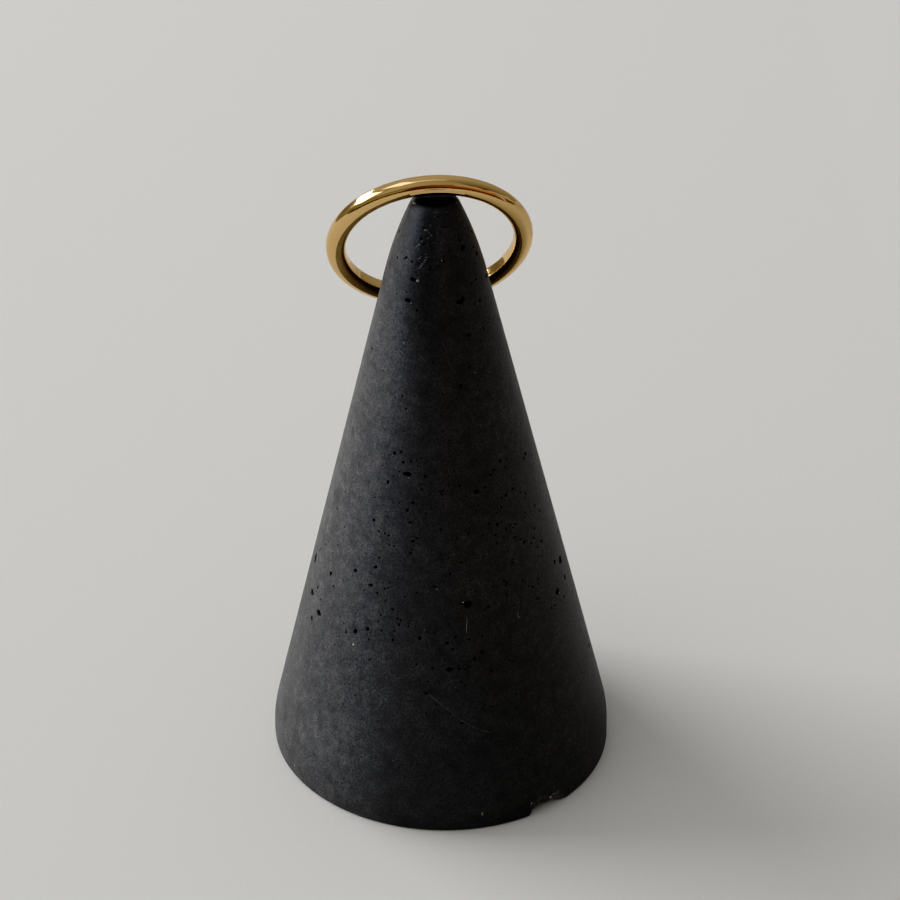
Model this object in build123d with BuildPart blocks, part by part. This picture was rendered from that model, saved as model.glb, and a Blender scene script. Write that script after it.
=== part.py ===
"""A plain polished stacking ring, hooked over the tip of the small cast-concrete cone that displays it.

Units are millimetres. The origin is where the cone's axis meets the surface it stands on. +Z is up,
-Y is the front and +X is the right-hand side.
"""

import os

from build123d import *

# ---- Driving dimensions: display cone ----------------------------------------------------------------
foot_radius = 18.3  # of the upright lip at the foot
lip_height = 2.9  # the lip stands straight up, then the flank starts
flank_slope = 0.238  # radius lost for each millimetre climbed
shoulder_height = 58.0  # the straight flank ends here and the nose begins to round over
tip_height = 66.5
tip_radius = 2.2  # before its edge is rounded off
tip_ease = 1.4  # rounding of the tip's edge
foot_ease = 0.35  # rounding of the bottom edge
hip_ease = 12.0  # soft turn from the lip into the flank
cast_lean = 1.5  # degrees: the foot was cast out of square, so the cone leans to the left

# ---- Driving dimensions: ring ------------------------------------------------------------------------
finger_diameter = 17.3
band_thickness = 1.98  # across the metal, from the finger side to the crown
band_width = 1.8  # along the finger
side_land = 0.68  # straight part of each side, up to where the crown begins
inner_ease = 0.28  # rounding between the flat inside and the sides

# ---- How the ring hangs: its top over the tip, its bottom against the back flank ----------------------
ring_centre = (-2.15, 4.05, 59.11)
ring_pitch = 24.6  # degrees: the top leans forward
ring_turn = 5.6  # degrees: the band faces a little to the right

# ---- Worked out from the dimensions above --------------------------------------------------------------
past_foot = 2.0  # the cone is drawn this much too long, then cut off level
shoulder_radius = foot_radius - flank_slope * (shoulder_height - lip_height)
finger_radius = finger_diameter / 2
crown_start = finger_radius + side_land
crown_height = band_thickness - side_land

# The cone's own plane leans with it: x is its radius and y climbs its axis.
cone_plane = Plane.XZ.rotated((0, -cast_lean, 0))

# The ring's plane faces the front, pitched down and then turned about the upright.
facing_front = Plane(ring_centre, x_dir=(1, 0, 0), z_dir=(0, -1, 0))
ring_plane = facing_front.rotated((ring_pitch, 0, 0)).rotated((0, 0, ring_turn))

# The band's section lies across the ring's plane: x is the distance from the ring's axis.
section_plane = Plane(ring_centre, x_dir=ring_plane.x_dir, z_dir=-ring_plane.y_dir)


# ---- Display cone: one solid turned about its leaning axis and cut off level at the foot --------------
with BuildPart() as display_cone:
    with BuildSketch(cone_plane):
        with BuildLine():
            lip = Polyline((0, -past_foot), (foot_radius, -past_foot), (foot_radius, lip_height))
            flank = Line(lip @ 1, (shoulder_radius, shoulder_height))
            nose = TangentArc(flank @ 1, (tip_radius, tip_height), tangent=flank % 1)
            Polyline(nose @ 1, (0, tip_height), lip @ 0)
        make_face()
    revolve(axis=Axis((0, 0, 0), cone_plane.y_dir))
    rims = display_cone.edges().filter_by(GeomType.CIRCLE).sort_by(Axis.Z)
    hip_edge, tip_edge = rims[1], rims[-1]
    fillet(tip_edge, tip_ease)
    fillet(hip_edge, hip_ease)
    split(bisect_by=Plane.XY, keep=Keep.TOP)
    foot_edge = display_cone.faces().sort_by(Axis.Z)[0].edges()
    fillet(foot_edge, foot_ease)

display_cone.part.label = "display_cone"


# ---- Ring: one D-shaped section, flat towards the finger and crowned outside, turned about its axis ----
with BuildPart() as ring_band:
    with BuildSketch(section_plane):
        with BuildLine():
            crown = EllipticalCenterArc(
                (crown_start, 0), crown_height, band_width / 2, start_angle=-90, arc_size=180
            )
            Polyline(
                crown @ 1,
                (finger_radius, band_width / 2),
                (finger_radius, -band_width / 2),
                crown @ 0,
            )
        section = make_face()
        fillet(section.vertices().group_by(Axis.X)[0], inner_ease)
    revolve(axis=Axis(ring_centre, ring_plane.z_dir))

ring_band.part.label = "ring_band"


# ---- Write one file per piece --------------------------------------------------------------------------
os.makedirs("parts", exist_ok=True)
export_step(display_cone.part, "parts/display_cone.step")
export_step(ring_band.part, "parts/ring_band.step")
for piece in (display_cone.part, ring_band.part):
    print(piece.label, "volume", round(piece.volume, 1), "size", piece.bounding_box().size)
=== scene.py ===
# %% [markdown]
# # A stacking ring on its display cone
#
# A jeweller's shelf often has a small cast cone with a ring or two on it. This lesson dresses a packed
# model of one such pair: a plain polished gold band, hooked over the tip of a black concrete cone.
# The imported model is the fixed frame. It says where everything is, and the pieces made here take its place
# with the detail that a CAD solid leaves out: air pores, a chipped rim, grain, and a mirror polish.

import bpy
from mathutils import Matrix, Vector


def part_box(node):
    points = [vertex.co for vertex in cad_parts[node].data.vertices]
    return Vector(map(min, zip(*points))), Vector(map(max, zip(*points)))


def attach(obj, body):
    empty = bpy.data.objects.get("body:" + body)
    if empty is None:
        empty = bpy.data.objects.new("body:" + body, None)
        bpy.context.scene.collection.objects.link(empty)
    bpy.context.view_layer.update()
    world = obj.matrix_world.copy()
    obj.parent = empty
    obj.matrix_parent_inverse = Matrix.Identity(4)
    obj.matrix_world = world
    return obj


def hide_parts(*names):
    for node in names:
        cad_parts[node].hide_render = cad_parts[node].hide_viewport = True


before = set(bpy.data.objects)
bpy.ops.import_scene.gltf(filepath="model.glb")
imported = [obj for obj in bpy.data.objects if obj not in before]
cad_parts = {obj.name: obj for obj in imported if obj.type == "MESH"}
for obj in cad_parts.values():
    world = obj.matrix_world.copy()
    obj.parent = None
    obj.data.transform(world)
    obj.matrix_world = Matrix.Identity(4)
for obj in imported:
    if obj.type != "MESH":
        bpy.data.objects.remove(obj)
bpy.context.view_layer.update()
print("frame nodes:", sorted(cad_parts))

# %% Other tools
import math

import bmesh
import bpy
import numpy as np
from mathutils import Matrix, Vector, noise
from mathutils.geometry import delaunay_2d_cdt

MM = 0.001
scene = bpy.context.scene
scene.view_settings.view_transform = "Standard"

# %% [markdown]
# ## The picture's tones
#
# A phone deepens the shadows of every picture it takes. Blacker materials would look alike, but they would
# be wrong in any other light. So it is done here as the phone does it, with a tone curve that leaves
# everything brighter than a dark grey alone and pulls what is darker towards black.

# %% Tone curve: (light in, light out), both as shares of white
SHADOW_CURVE = [(0.012, 0.0025), (0.028, 0.0135), (0.06, 0.052), (0.12, 0.12), (0.5, 0.5)]
ALL_CHANNELS = 3
scene.view_settings.use_curve_mapping = True
tones = scene.view_settings.curve_mapping
for light_in, light_out in SHADOW_CURVE:
    tones.curves[ALL_CHANNELS].points.new(light_in, light_out)
tones.update()
print(len(SHADOW_CURVE), "points on the tone curve")

# %% [markdown]
# ## What the frame tells
#
# Both pieces are round about an axis: the cone about an upright that leans a little to the left, the ring
# about the axis of the finger. A round piece needs only its axis and its outline. The axes come from three
# angles, and the ring's middle from its box. The cone's outline could be typed in as numbers. Read off the
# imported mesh, it always agrees with the model: each corner has a height along the axis and a distance from
# it, and sorting those pairs gives the outline from foot to tip.

# %% The cone's axes
CAST_LEAN = math.radians(1.5)
cone_up = np.array([-math.sin(CAST_LEAN), 0.0, math.cos(CAST_LEAN)])
cone_side = np.array([math.cos(CAST_LEAN), 0.0, math.sin(CAST_LEAN)])
cone_back = np.array([0.0, 1.0, 0.0])
print(f"cone leans {math.degrees(CAST_LEAN):.1f} degrees to the left")


def corners_of(node):
    """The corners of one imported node's mesh, a row each."""
    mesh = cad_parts[node].data
    flat = np.empty(len(mesh.vertices) * 3)
    mesh.vertices.foreach_get("co", flat)
    return flat.reshape(-1, 3)


# %% The cone's outline, from the top of the foot's rounding up to the middle of the tip
OUTLINE_START = 1.5 * MM
cone_corners = corners_of("display_cone")
heights = cone_corners @ cone_up
radii = np.linalg.norm(cone_corners - np.outer(heights, cone_up), axis=1)
FOOT_RADIUS = radii.max()
TIP_HEIGHT = heights.max()
pairs = np.unique(np.round(np.stack([heights, radii], 1), 5), axis=0)
pairs = pairs[(pairs[:, 0] > OUTLINE_START) & (pairs[:, 0] < TIP_HEIGHT)]
outline_h = np.concatenate([[-OUTLINE_START, 0.0], pairs[:, 0], [TIP_HEIGHT]])
outline_r = np.concatenate([[FOOT_RADIUS, FOOT_RADIUS], pairs[:, 1], [0.0]])
outline_r = np.minimum.accumulate(outline_r)
steps = np.hypot(np.diff(outline_h), np.diff(outline_r))
outline_s = np.concatenate([[0.0], np.cumsum(steps)]) - OUTLINE_START
print(f"cone: foot {2 * FOOT_RADIUS / MM:.2f} mm across, tip {TIP_HEIGHT / MM:.2f} mm up")
print(len(pairs), "points on its outline")

# %% The ring's place: the middle of its box, tipped forward and turned to the right
RING_PITCH = math.radians(24.6)
RING_TURN = math.radians(5.6)
ring_low, ring_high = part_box("ring_band")
ring_centre = np.array((ring_low + ring_high) / 2)
ring_stand = Matrix.Rotation(RING_TURN, 3, "Z") @ Matrix.Rotation(RING_PITCH, 3, "X")
ring_axis = np.array(ring_stand @ Vector((0, -1, 0)))
ring_side = np.array(ring_stand @ Vector((1, 0, 0)))
ring_up = np.cross(ring_axis, ring_side)
from_centre = corners_of("ring_band") - ring_centre
along_finger = from_centre @ ring_axis
from_axis = np.linalg.norm(from_centre - np.outer(along_finger, ring_axis), axis=1)
FINGER_RADIUS = from_axis.min()
CROWN_RADIUS = from_axis.max()
BAND_WIDTH = along_finger.max() - along_finger.min()
print(f"ring: {2 * FINGER_RADIUS / MM:.2f} mm inside, {2 * CROWN_RADIUS / MM:.2f} mm outside")
print(f"ring: {BAND_WIDTH / MM:.2f} mm wide")

# %% [markdown]
# ## The camera
#
# A product shot like this is taken from above the tip with a long lens, so that the ring shows as an
# ellipse and the foot looks hardly smaller than it is. A Track To constraint could keep the camera pointed
# at the cone. A place and three angles do the same with nothing else in the scene.

# %% Camera
CAMERA_PLACE = Vector((-4.86, -300.2, 228.9)) * MM
LOOKS_DOWN = math.radians(32.67)
LOOKS_RIGHT = math.radians(0.99)
TIPS_CLOCKWISE = math.radians(1.24)
FOCAL_LENGTH = 136.0
SENSOR_WIDTH = 36.0

camera_data = bpy.data.cameras.new("camera")
camera_data.lens = FOCAL_LENGTH
camera_data.sensor_width = SENSOR_WIDTH
camera_data.clip_start = 0.01
camera = bpy.data.objects.new("camera", camera_data)
scene.collection.objects.link(camera)
aim = Matrix.Rotation(-LOOKS_RIGHT, 3, "Z") @ Matrix.Rotation(math.radians(90) - LOOKS_DOWN, 3, "X")
camera.matrix_world = Matrix.LocRotScale(CAMERA_PLACE, aim @ Matrix.Rotation(TIPS_CLOCKWISE, 3, "Z"), None)
scene.camera = camera
print(f"camera {CAMERA_PLACE.length / MM:.0f} mm from the middle of the foot")

# %% [markdown]
# ## Helpers for meshes and materials
#
# Every piece below is a list of corners and a list of faces, and every finish is a small tree of nodes.
# A few short helpers keep the cells that follow about the object rather than about the program.

# %% Mesh helper
def new_piece(name, corners, faces, smooth=True):
    """An object made of corners and faces, linked into the scene."""
    mesh = bpy.data.meshes.new(name)
    mesh.from_pydata([tuple(c) for c in corners], [], [tuple(f) for f in faces])
    mesh.validate()
    mesh.polygons.foreach_set("use_smooth", [smooth] * len(mesh.polygons))
    piece = bpy.data.objects.new(name, mesh)
    scene.collection.objects.link(piece)
    return piece


# %% Node helpers
class Wiring:
    """A node tree under construction."""

    def __init__(self, tree):
        self.tree = tree

    def add(self, kind, **settings):
        """A new node; each setting is one of its sockets or one of its own options."""
        node = self.tree.nodes.new("ShaderNode" + kind)
        for key, value in settings.items():
            if key in node.inputs:
                node.inputs[key].default_value = value
            else:
                setattr(node, key, value)
        return node

    def join(self, out_socket, in_socket):
        """A wire between two sockets."""
        self.tree.links.new(out_socket, in_socket)

    def fill(self, source, in_socket):
        """Wires a socket when the source is one too, and otherwise sets its value."""
        if hasattr(source, "is_linked"):
            self.join(source, in_socket)
        else:
            in_socket.default_value = source

    def ramp(self, source, stops):
        """A colour ramp fed by a socket: stops are (position, grey or colour)."""
        node = self.add("ValToRGB")
        elements = node.color_ramp.elements
        while len(elements) < len(stops):
            elements.new(0.5)
        for element, (position, value) in zip(elements, stops):
            element.position = position
            element.color = (*value, 1) if isinstance(value, tuple) else (value, value, value, 1)
        self.join(source, node.inputs["Fac"])
        return node.outputs["Color"]

    def mix(self, kind, share, first, second):
        """Mixes two colours; share, first and second are sockets or values."""
        node = self.add("Mix", data_type="RGBA", blend_type=kind)
        for source, index in ((share, 0), (first, 6), (second, 7)):
            self.fill(source, node.inputs[index])
        return node.outputs[2]

    def number(self, operation, first, second):
        """Works out one number from two, which are sockets or values."""
        node = self.add("Math", operation=operation)
        self.fill(first, node.inputs[0])
        self.fill(second, node.inputs[1])
        return node.outputs[0]


class Finish(Wiring):
    """A material and its main shader."""

    def __init__(self, name):
        self.material = bpy.data.materials.new(name)
        self.material.use_nodes = True
        super().__init__(self.material.node_tree)
        self.shader = self.tree.nodes["Principled BSDF"]

    def set(self, socket_name, source):
        """Wires or sets one socket of the main shader."""
        self.fill(source, self.shader.inputs[socket_name])

    def noise(self, place, scale, detail, rough):
        """Noise that follows a place: the higher its scale, the smaller its blotches."""
        node = self.add("TexNoise", Scale=scale, Detail=detail, Roughness=rough)
        self.join(place, node.inputs["Vector"])
        return node.outputs["Fac"]

    def relief(self, height, strength, depth, over=None, pushed_in=False):
        """Bumps as high as a socket says, on top of earlier bumps if those are given."""
        node = self.add("Bump", Strength=strength, Distance=depth, invert=pushed_in)
        self.join(height, node.inputs["Height"])
        if over is not None:
            self.join(over, node.inputs["Normal"])
        return node.outputs["Normal"]


# %% [markdown]
# ## The floor and the room
#
# Jewellery is mostly reflection, so the room matters as much as the ring. The cone stands on a broad sheet
# of pale paper, whose fibres make it just uneven enough to read as paper. A wide, low window on the left
# lights the left flank of the cone and throws a soft shadow to the right. A dimmer window stands beside it,
# and a blind above lets a little warm light through. The rest of the room is a dim, slightly warm grey.
#
# A panorama of a real room, wrapped round the scene, could light it too. Lamps that have a size and a place
# are easier to move, and it stays plain what each of them does.

# %% Paper floor
PAPER_HALF = 4.0
FIBRES_PER_METRE = 2600.0
paper_corners = [(-PAPER_HALF, -PAPER_HALF, 0), (PAPER_HALF, -PAPER_HALF, 0),
                 (PAPER_HALF, PAPER_HALF, 0), (-PAPER_HALF, PAPER_HALF, 0)]
paper = new_piece("paper", paper_corners, [(0, 1, 2, 3)], smooth=False)
paper_finish = Finish("paper")
paper_finish.set("Roughness", 0.9)
paper_finish.set("Specular IOR Level", 0.2)
paper_place = paper_finish.add("TexCoord").outputs["Object"]
fibres = paper_finish.noise(paper_place, FIBRES_PER_METRE, detail=3.0, rough=0.6)
fibre_tones = [(0.0, (0.755, 0.750, 0.735)), (1.0, (0.805, 0.800, 0.785))]
paper_finish.set("Base Color", paper_finish.ramp(fibres, fibre_tones))
paper.data.materials.append(paper_finish.material)
print(f"paper {2 * PAPER_HALF:.0f} m across")

# %% Room light: brighter overhead and behind, dim in front and to the right
FRONT_RIGHT = (0.30, -0.40, 0.0)
room = bpy.data.worlds.new("room")
scene.world = room
room.use_nodes = True
air = Wiring(room.node_tree)
direction = air.add("TexCoord").outputs["Generated"]
split = air.add("SeparateXYZ")
air.join(direction, split.inputs[0])
towards_front = air.add("VectorMath", operation="DOT_PRODUCT")
air.join(direction, towards_front.inputs[0])
towards_front.inputs[1].default_value = FRONT_RIGHT
front_share = air.number("ADD", towards_front.outputs["Value"], 0.5)
height_light = air.ramp(split.outputs["Z"], [(0.0, (0.26, 0.25, 0.235)), (1.0, (0.44, 0.435, 0.42))])
side_light = air.ramp(front_share, [(0.0, 1.25), (0.5, 0.92), (1.0, (0.40, 0.385, 0.37))])
room_light = air.mix("MULTIPLY", 1.0, height_light, side_light)
air.join(room_light, air.tree.nodes["Background"].inputs["Color"])
print(len(air.tree.nodes), "nodes in the room's light")


# %% Windows and blind
def window(name, place, size, aim_at, radiance, colour):
    """A rectangular light that faces a point, set by how bright it looks rather than by its power."""
    width, height = size
    light = bpy.data.lights.new(name, "AREA")
    light.shape = "RECTANGLE"
    light.size = width
    light.size_y = height
    light.energy = radiance * width * height * math.pi
    light.color = colour
    lamp = bpy.data.objects.new(name, light)
    lamp.location = place
    lamp.rotation_euler = (Vector(aim_at) - Vector(place)).to_track_quat("-Z", "Y").to_euler()
    scene.collection.objects.link(lamp)
    return lamp


BLIND_SIZE = (1.4, 0.8)
window("window", (-1.6, 1.10, 0.82), (2.04, 0.64), (0, 1.10, 0.82), 11.0, (0.97, 0.98, 0.99))
window("window_front", (-1.6, -0.66, 0.70), (1.88, 0.96), (0, -0.66, 0.70), 0.5, (0.97, 0.98, 1.00))
blind = window("blind", (-0.86, -0.40, 1.62), BLIND_SIZE, (0, 0, 0.06), 0.85, (1.0, 0.96, 0.88))
print(len(bpy.data.lights), "soft lights")

# %% [markdown]
# ## What the gold sees
#
# A polished band shows the whole room. The room could be modelled, but on a band this narrow each thing in
# it is only a small patch of colour. So the table, the floor, the skirting boards, a chair, the walls and
# the ceiling are flat cards that the gold sees and the camera doesn't. Each glows in one colour, or fades
# from one to another along X. Most of the table and the floor beyond it also colour the light on the cone,
# as the real ones do. Those cards glow upwards only, so that the paper underneath them stays clean. One card
# on the paper to the right of the cone paints shade: the gold shows the paper there darker than it is lit.
# The last card is an arc beside the ring's front edge, over the tip. It is a painted reflection: it gives
# that edge the pale paper that it looks down on.


# %% A card that the camera doesn't see
def paint_card(card, left_colour, right_colour=None, lights_matt=False):
    """Makes a piece glow in one or two colours, for reflections alone or for the matt pieces too."""
    glow = Finish(card.name)
    glow.tree.nodes.remove(glow.shader)
    light = glow.add("Emission", Color=(*left_colour, 1), Strength=1.0)
    seen = light.outputs[0]
    if lights_matt:
        side = glow.add("NewGeometry")
        see_through = glow.add("BsdfTransparent")
        upper_side_only = glow.add("MixShader")
        glow.join(side.outputs["Backfacing"], upper_side_only.inputs[0])
        glow.join(seen, upper_side_only.inputs[1])
        glow.join(see_through.outputs[0], upper_side_only.inputs[2])
        seen = upper_side_only.outputs[0]
    glow.join(seen, glow.tree.nodes["Material Output"].inputs["Surface"])
    if right_colour:
        place = glow.add("TexCoord")
        axes = glow.add("SeparateXYZ")
        glow.join(place.outputs["Generated"], axes.inputs[0])
        fade = glow.ramp(axes.outputs["X"], [(0.0, left_colour), (1.0, right_colour)])
        glow.join(fade, light.inputs["Color"])
    card.data.materials.append(glow.material)
    card.visible_camera = False
    card.visible_diffuse = lights_matt
    card.visible_shadow = False
    card.visible_transmission = False
    card.visible_volume_scatter = False


def mirror_card(name, corners, left_colour, right_colour=None, lights_matt=False):
    """A flat card with four corners, painted at once."""
    card = new_piece(name, corners, [(0, 1, 2, 3)], smooth=False)
    paint_card(card, left_colour, right_colour, lights_matt)


# %% How a card lies or stands; each layer of lying cards is a little higher than the one before
CARD_LIFT = 0.0005


def lying_on(outline, layers=1):
    """The corners of a card on the paper whose outline is given as four places in plan."""
    return [(x, y, CARD_LIFT * layers) for x, y in outline]


def lying(x0, y0, x1, y1):
    """The corners of a card that lies square to the paper."""
    return lying_on([(x0, y0), (x1, y0), (x1, y1), (x0, y1)])


def standing(x0, y0, x1, y1, z0, z1):
    """The corners of an upright card."""
    return [(x0, y0, z0), (x1, y1, z0), (x1, y1, z1), (x0, y0, z1)]


# %% The table in front of the paper, and the floor beyond it
PAPER_FRONT = -0.086
TABLE_SEAM = -0.02
OLIVE = (0.17, 0.15, 0.11)
DARK_WOOD = (0.055, 0.020, 0.007)
mirror_card("table_left", lying(-1.6, -1.6, TABLE_SEAM, PAPER_FRONT), OLIVE, lights_matt=True)
edge = lying_on([(TABLE_SEAM, PAPER_FRONT), (TABLE_SEAM, -0.14), (-0.18, -0.118), (-0.18, -0.076)], 2)
mirror_card("table_edge", edge, (0.03, 0.014, 0.003))
lit = lying_on([(TABLE_SEAM, -0.14), (TABLE_SEAM, -0.22), (-0.26, -0.19), (-0.18, -0.118)], 3)
mirror_card("table_light", lit, (0.34, 0.32, 0.24))
near = lying_on([(TABLE_SEAM, PAPER_FRONT), (TABLE_SEAM, -0.135), (0.16, -0.10), (0.10, -0.056)], 2)
mirror_card("table_near", near, DARK_WOOD, (0.11, 0.042, 0.016), lights_matt=True)
warm = lying_on([(TABLE_SEAM, -0.13), (TABLE_SEAM, -0.42), (0.34, -0.27), (0.16, -0.10)], 3)
mirror_card("table_middle", warm, (0.05, 0.022, 0.012), (0.72, 0.32, 0.13), lights_matt=True)
far = lying(TABLE_SEAM, -1.6, 1.6, -0.16)
mirror_card("floor_far", far, (0.05, 0.035, 0.025), (0.34, 0.30, 0.30), lights_matt=True)
right = lying_on([(0.11, -0.060), (0.42, -0.17), (0.42, -0.02), (0.30, -0.004)], 4)
mirror_card("table_right", right, (0.09, 0.055, 0.025))
# Painted shade: in the gold, this card shows the paper to the right darker than it is lit.
mirror_card("painted_shade_paper_right", lying(0.06, -0.062, 0.5, 0.5), (0.46, 0.45, 0.43), (0.28, 0.27, 0.26))
mirror_card("sill_table", lying(-1.58, PAPER_FRONT, -0.24, 3.0), (0.19, 0.18, 0.17))
print("cards on the table and the floor painted")

# %% Walls, skirting boards, a chair and the ceiling
mirror_card("skirting", standing(0.20, -0.45, 0.75, -0.12, 0.0, 0.12), (0.44, 0.40, 0.42))
mirror_card("skirting_right", standing(0.90, -0.25, 0.90, 0.12, 0.06, 0.15), (0.46, 0.47, 0.52))
mirror_card("chair", standing(0.325, -0.30, 0.365, -0.225, 0.062, 0.145), (0.035, 0.015, 0.008))
mirror_card("room_front", standing(-1.1, -1.4, 1.1, -1.4, 0.0, 1.7), (0.46, 0.44, 0.41), (0.28, 0.27, 0.25))
mirror_card("sill_wall", standing(-1.58, 0.28, -1.58, 3.0, 0.0, 0.56), (0.15, 0.14, 0.13))
CEILING = 1.75
ceiling_plan = [(-0.62, -0.95), (0.6, -0.95), (0.6, -0.2), (-0.62, -0.2)]
ceiling_corners = [(x, y, CEILING) for x, y in ceiling_plan]
mirror_card("ceiling_glow", ceiling_corners, (0.84, 0.86, 0.90), (0.50, 0.50, 0.50))
print("cards on the walls and the ceiling painted")

# %% Glare: the bright sky in the front window, and the blind as the ring sees it
BLIND_IN_FRONT = -0.01
glare_corners = [(-1.59, -1.08, 0.12), (-1.59, 0.30, 0.42), (-1.59, 0.30, 1.16), (-1.59, -1.08, 1.20)]
mirror_card("glare", glare_corners, (3.4, 3.8, 5.0))
blind_turn = blind.rotation_euler.to_matrix()
half_wide, half_high = BLIND_SIZE[0] / 2, BLIND_SIZE[1] / 2
blind_corners = []
for x, y in ((-1, -1), (1, -1), (1, 1), (-1, 1)):
    corner = Vector((x * half_wide, y * half_high, BLIND_IN_FRONT))
    blind_corners.append(blind.location + blind_turn @ corner)
mirror_card("blind_glare", blind_corners, (1.45, 1.62, 2.1))
print("glare painted")

# %% Painted reflection: an arc held just clear of the ring's front edge, over the tip, shows it pale paper
STRIP_FROM, STRIP_TO = -15.5, 18.5
STRIP_STEPS = 24
STRIP_RADII = (FINGER_RADIUS + 0.70 * MM, FINGER_RADIUS + 1.13 * MM)
STRIP_CLEAR = 0.03 * MM
strip_middle = ring_centre + (BAND_WIDTH / 2 + STRIP_CLEAR) * ring_axis
strip_corners = []
for turn in np.radians(np.linspace(STRIP_FROM, STRIP_TO, STRIP_STEPS + 1)):
    out = math.sin(turn) * ring_side + math.cos(turn) * ring_up
    strip_corners += [strip_middle + radius * out for radius in STRIP_RADII]
strip_faces = [(2 * k, 2 * k + 1, 2 * k + 3, 2 * k + 2) for k in range(STRIP_STEPS)]
paint_card(new_piece("painted_paper_reflection", strip_corners, strip_faces, smooth=False), (0.47, 0.46, 0.50))
print(f"strip {STRIP_TO - STRIP_FROM:.0f} degrees long")

# %% [markdown]
# ## The chart of air pores
#
# Concrete poured into a smooth mould traps air against the wall, and each bubble leaves a sharp-edged
# pit. A noise texture could scatter them all, but then none would be a real pit in its real place. Their
# places are part of how this cone looks, so the larger ones are charted: degrees round the cone
# from the front, millimetres up, and millimetres across. A fourth number is given for a pore that isn't
# round. The back gets pores of the same sizes at random, and everywhere between them lie pinholes.

# %% Charted pores: (degrees to the right of the front, height in mm, width in mm, how much taller than wide)
PORES_NEAR_TIP = [
    (-80, 63.0, 0.3), (-43, 61.3, 0.28), (-46, 61.1, 0.18), (-33, 61.1, 0.22), (-60, 60.8, 0.24),
    (-24, 63.5, 0.22), (-21, 64.5, 0.22), (-18, 63.0, 0.2), (45, 62.2, 0.55), (67, 61.6, 0.25),
    (70, 60.8, 0.38), (80, 62.8, 0.3), (30, 61.6, 0.17), (60, 60.1, 0.22), (12, 61.4, 0.14),
    (-3.5, 61.6, 0.14), (20, 62.3, 0.14), (-7, 60.7, 0.18), (-28, 59.4, 0.42), (-31.5, 57.2, 0.5),
    (-20, 56.4, 0.22), (28, 57.1, 0.8, 0.65), (31, 57.35, 0.3), (53, 56.4, 0.3), (44, 56.3, 0.16),
    (54, 58.6, 0.2), (45, 58.5, 0.25), (79, 57.9, 0.4), (-48, 57.4, 0.18), (-34, 58.0, 0.18),
    (-14, 57.1, 0.13), (20, 64.6, 0.15), (13, 64.7, 0.13), (-2, 64.2, 0.13), (6, 65.6, 0.15),
]
PORES_UPPER = [
    (-69.5, 50.3, 0.3), (32, 53.5, 0.4), (50, 53.5, 0.17, 2.2), (19.3, 48.5, 0.3, 1.6),
    (-27, 47.3, 0.18), (-23, 46.1, 0.2), (-3, 51.2, 0.18), (28.5, 50.2, 0.24), (-17, 51.7, 0.13),
    (-28.5, 41.2, 0.3), (-24, 41.5, 0.25), (-22, 40.5, 0.26), (-17, 40.7, 0.25, 0.6), (-13, 40.9, 0.16),
    (-10.5, 41.2, 0.18), (-7.5, 40.7, 0.15), (-12, 40.4, 0.16), (-18.5, 39.3, 0.62), (-24, 39.4, 0.15),
    (-7.5, 39.3, 0.25), (-31, 38.0, 0.3), (-9.5, 37.9, 0.18), (-10.5, 38.4, 0.15), (-3.5, 38.6, 0.13),
    (1.5, 37.7, 0.24), (3, 37.8, 0.22), (2.2, 37.4, 0.2), (6.5, 38.4, 0.15), (13, 38.2, 0.2),
    (-14.5, 36.4, 0.28), (-17.5, 35.5, 0.3), (-15.5, 34.3, 0.2), (-6.5, 35.4, 0.18), (-10.5, 35.7, 0.16),
    (-4, 35.9, 0.13), (-37, 33.5, 0.32), (-29.5, 32.5, 0.2), (-27, 32.4, 0.2), (-33, 32.5, 0.18),
    (-11.5, 32.7, 0.2), (-13.5, 32.3, 0.28), (1.5, 33.7, 0.15, 3.0),
    (-26, 31.4, 0.18), (-23.5, 31.4, 0.18), (-13.5, 31.4, 0.16), (-14.5, 31.0, 0.2), (1, 31.1, 0.15),
    (5, 30.6, 0.15), (10, 32.6, 0.2), (9.8, 33.1, 0.15), (-31, 29.7, 0.22), (-63, 34.4, 0.18),
    (-68, 31.9, 0.2), (-60, 29.0, 0.18), (-57.5, 30.9, 0.18), (-36, 39.5, 0.13), (-72, 41.0, 0.15),
]
PORES_LEFT = [
    (-82, 24.0, 0.85), (-75, 20.9, 0.75), (-61, 25.1, 0.42), (-44, 27.3, 0.4), (-32.6, 28.6, 0.38),
    (-34, 26.5, 0.38), (-37, 25.7, 0.2), (-30, 25.9, 0.23), (-26.5, 26.6, 0.2), (-24.6, 26.8, 0.16),
    (-20, 28.0, 0.15), (-24, 27.4, 0.13), (-57, 24.1, 0.26), (-70, 22.2, 0.3), (-65, 21.5, 0.22),
    (-64, 20.0, 0.75), (-69, 18.6, 0.5), (-39, 20.9, 0.48), (-33, 21.7, 0.38), (-44, 20.3, 0.25),
    (-46, 21.1, 0.15), (-26, 22.0, 0.22), (-31.7, 20.6, 0.18), (-20.5, 21.3, 0.25), (-21.5, 24.6, 0.3, 0.65),
    (-19, 23.7, 0.2), (-17.5, 23.6, 0.22), (-18, 23.1, 0.22), (-20, 22.3, 0.2), (-14, 23.4, 0.15),
    (-13.7, 23.1, 0.15), (-20.5, 22.7, 0.13), (-28, 22.9, 0.18), (-25.5, 25.3, 0.13), (-17, 25.6, 0.13),
    (-31, 27.0, 0.14), (-27.5, 27.2, 0.13), (-72, 27.2, 0.22), (-70, 27.8, 0.2), (-60, 28.6, 0.18),
    (-69, 28.4, 0.18), (-78, 25.7, 0.35), (-80, 28.6, 0.2), (-47.5, 19.4, 0.15), (-39.3, 29.6, 0.13),
    (-30, 18.5, 0.22), (-49, 18.3, 0.18),
]
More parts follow.
